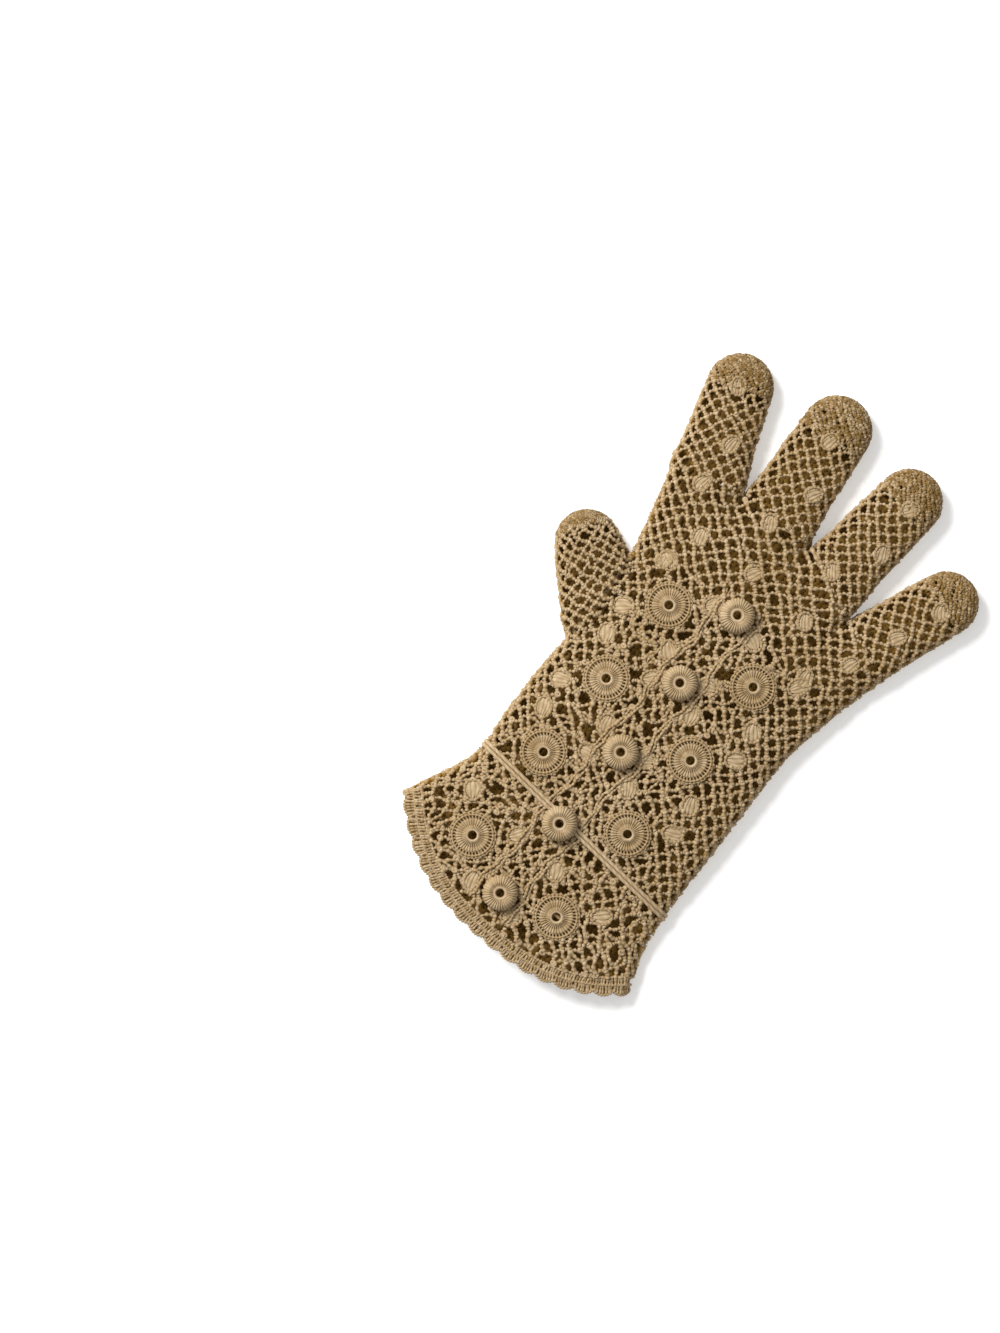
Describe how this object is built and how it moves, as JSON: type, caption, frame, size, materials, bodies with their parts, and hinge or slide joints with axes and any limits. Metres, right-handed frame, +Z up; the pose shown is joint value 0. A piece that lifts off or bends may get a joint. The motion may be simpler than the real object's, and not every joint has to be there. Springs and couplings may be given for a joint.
{
  "type": "crochet glove",
  "caption": "Right-hand dress glove in open crocheted lace, with round motifs on the back, a cord at the wrist and a flared, scalloped cuff.",
  "frame": {"origin": "middle of the glove's box, on the surface that the palm lies on", "axes": "+Y from the cuff to the fingertips, +Z up from the palm to the back, the thumb towards -X"},
  "size_m": [0.138, 0.2396, 0.0185],
  "materials": {
    "lace": "matt ecru cotton thread",
    "edging": "matt ecru cotton thread, closely worked",
    "rosette": "matt ecru cotton thread over a flat ring",
    "button": "matt ecru cotton thread over a padded ring",
    "cord": "smooth ecru cotton cord"
  },
  "bodies": {
    "root": {"hand": "lace", "cuff": "lace", "index_finger": "lace", "middle_finger": "lace", "ring_finger": "lace", "little_finger": "lace", "thumb": "lace", "cuff_edging": "edging", "wrist_cord": "cord", "rosette_1": "rosette", "rosette_2": "rosette", "rosette_3": "rosette", "rosette_4": "rosette", "rosette_5": "rosette", "rosette_6": "rosette", "rosette_7": "rosette", "rosette_8": "rosette", "button_1": "button", "button_2": "button", "button_3": "button", "button_4": "button", "button_5": "button"}
  },
  "joints": []
}
